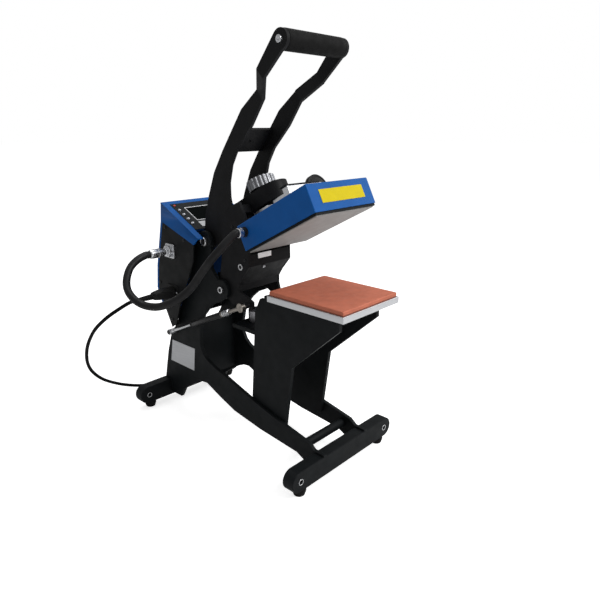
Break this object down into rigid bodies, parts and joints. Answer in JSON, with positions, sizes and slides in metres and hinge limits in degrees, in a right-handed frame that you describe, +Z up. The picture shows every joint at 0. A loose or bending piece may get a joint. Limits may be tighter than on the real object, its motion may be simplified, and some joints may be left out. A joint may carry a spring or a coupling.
{
  "type": "heat press",
  "caption": "Clamshell heat press: a cranked handle closes a flat heated head on a lower platen, with a control box behind and a gas spring that opens it.",
  "frame": {"origin": "centre of the object's box at floor level, without the cables", "axes": "+X to the operator's right, +Y to the back, +Z up"},
  "size_m": [0.387, 0.775, 0.7705],
  "materials": {
    "black_steel": "satin black powder coat",
    "rubber": "matt",
    "bright_steel": "bright plated",
    "blue_paint": "semi gloss blue",
    "panel_metal": "satin",
    "display_black": "gloss",
    "button_metal": "satin",
    "red_plastic": "gloss",
    "black_plastic": "fine texture",
    "aluminium": "machined",
    "platen_coat": "non-stick coat",
    "silicone": "matt silicone",
    "yellow_plate": "plain gloss",
    "brass_plate": "yellow passivated",
    "magnet_steel": "ground"
  },
  "bodies": {
    "frame": {"side_plate_left": "black_steel", "side_plate_right": "black_steel", "tie_rear": "black_steel", "tie_front": "black_steel", "foot_bar_rear": "black_steel", "foot_bar_front": "black_steel", "foot_rear_left": "rubber", "foot_rear_right": "rubber", "foot_front_left": "rubber", "foot_front_right": "rubber", "axle_handle": "bright_steel", "axle_arm": "bright_steel", "box_lid": "blue_paint", "box_side_left": "black_steel", "box_side_right": "black_steel", "box_back": "blue_paint", "box_front": "blue_paint", "display_frame": "panel_metal", "display_screen": "display_black", "conduit_flange": "bright_steel", "inlet_socket": "black_plastic", "rating_plate": "panel_metal", "magnet": "magnet_steel", "platen_support": "black_steel", "lower_platen": "aluminium", "silicone_pad": "silicone", "gas_frame_stud": "bright_steel", "conduit_hose": "black_plastic", "cord_run": "black_plastic", "cord_coil": "black_plastic", "cord_connector": "black_plastic", "cord_plug": "black_plastic"},
    "handle": {"handle_arm_left": "black_steel", "handle_arm_right": "black_steel", "handle_cross_plate": "black_steel", "hand_grip": "rubber", "grip_screws": "bright_steel"},
    "arm": {"arm_plate_left": "black_steel", "arm_plate_right": "black_steel", "arm_block": "black_steel", "arm_tongue": "black_steel", "arm_front_panel": "black_steel", "link_pin_lower": "bright_steel", "hanger_block": "aluminium", "head_cover": "blue_paint", "heating_platen": "platen_coat", "thermal_cap": "black_plastic", "front_plate": "yellow_plate", "hose_fitting": "bright_steel"},
    "link": {"toggle_link": "black_steel"},
    "knob": {"pressure_knob": "aluminium"},
    "pressure_nut": {"pressure_block": "aluminium"},
    "spring_rod": {"gas_rod": "bright_steel"},
    "spring_cylinder": {"gas_cylinder": "black_steel", "gas_end": "brass_plate"},
    "button_a": {"button_1": "button_metal"},
    "button_b": {"button_2": "button_metal"},
    "button_c": {"button_3": "button_metal"},
    "button_d": {"button_4": "button_metal"},
    "rocker": {"power_rocker": "red_plastic"}
  },
  "joints": [
    {"name": "handle_hinge", "type": "hinge", "parent": "frame", "child": "handle", "pos_m": [0, 0.093, 0.407], "axis": [1, 0, 0], "range_deg": [0, 45], "stiffness_Nm_per_rad": 22, "springref_deg": -63.03},
    {"name": "arm_hinge", "type": "hinge", "parent": "frame", "child": "arm", "pos_m": [0, 0.046, 0.316], "axis": [1, 0, 0], "range_deg": [0, 27.6]},
    {"name": "link_hinge", "type": "hinge", "parent": "arm", "child": "link", "pos_m": [0, -0.006, 0.37], "axis": [1, 0, 0], "range_deg": [-60.2, 0]},
    {"name": "knob_turn", "type": "hinge", "parent": "arm", "child": "knob", "pos_m": [0, -0.01478, 0.51111], "axis": [0, 0.4617, 0.887], "range_deg": [-720, 720]},
    {"name": "nut_travel", "type": "slide", "parent": "arm", "child": "pressure_nut", "axis": [0, 0.4617, 0.887], "range_m": [-0.0031, 0.0031]},
    {"name": "spring_swing", "type": "hinge", "parent": "frame", "child": "spring_rod", "pos_m": [-0.077, 0.217, 0.186], "axis": [1, 0, 0], "range_deg": [0, 5.25]},
    {"name": "spring_stroke", "type": "slide", "parent": "spring_rod", "child": "spring_cylinder", "axis": [0, 0.9088, -0.4172], "range_m": [0, 0.02747]},
    {"name": "button_a_press", "type": "slide", "parent": "frame", "child": "button_a", "axis": [0, 0.4442, -0.8959], "range_m": [0, 0.0015], "stiffness_N_per_m": 400, "springref_m": -0.001},
    {"name": "button_b_press", "type": "slide", "parent": "frame", "child": "button_b", "axis": [0, 0.4442, -0.8959], "range_m": [0, 0.0015], "stiffness_N_per_m": 400, "springref_m": -0.001},
    {"name": "button_c_press", "type": "slide", "parent": "frame", "child": "button_c", "axis": [0, 0.4442, -0.8959], "range_m": [0, 0.0015], "stiffness_N_per_m": 400, "springref_m": -0.001},
    {"name": "button_d_press", "type": "slide", "parent": "frame", "child": "button_d", "axis": [0, 0.4442, -0.8959], "range_m": [0, 0.0015], "stiffness_N_per_m": 400, "springref_m": -0.001},
    {"name": "rocker_tilt", "type": "hinge", "parent": "frame", "child": "rocker", "pos_m": [0.0805, 0.197, 0.333], "axis": [0, 1, 0], "range_deg": [-4, 0]}
  ],
  "couplings": [
    {"joint": "arm_hinge", "follows": "handle_hinge", "ratio": 0.61111},
    {"joint": "link_hinge", "follows": "handle_hinge", "ratio": -1.3333},
    {"joint": "spring_swing", "follows": "handle_hinge", "ratio": 0.11564},
    {"joint": "spring_stroke", "follows": "handle_hinge", "m_per_rad": 0.03472},
    {"joint": "nut_travel", "follows": "knob_turn", "m_per_rad": -0.00023873}
  ]
}
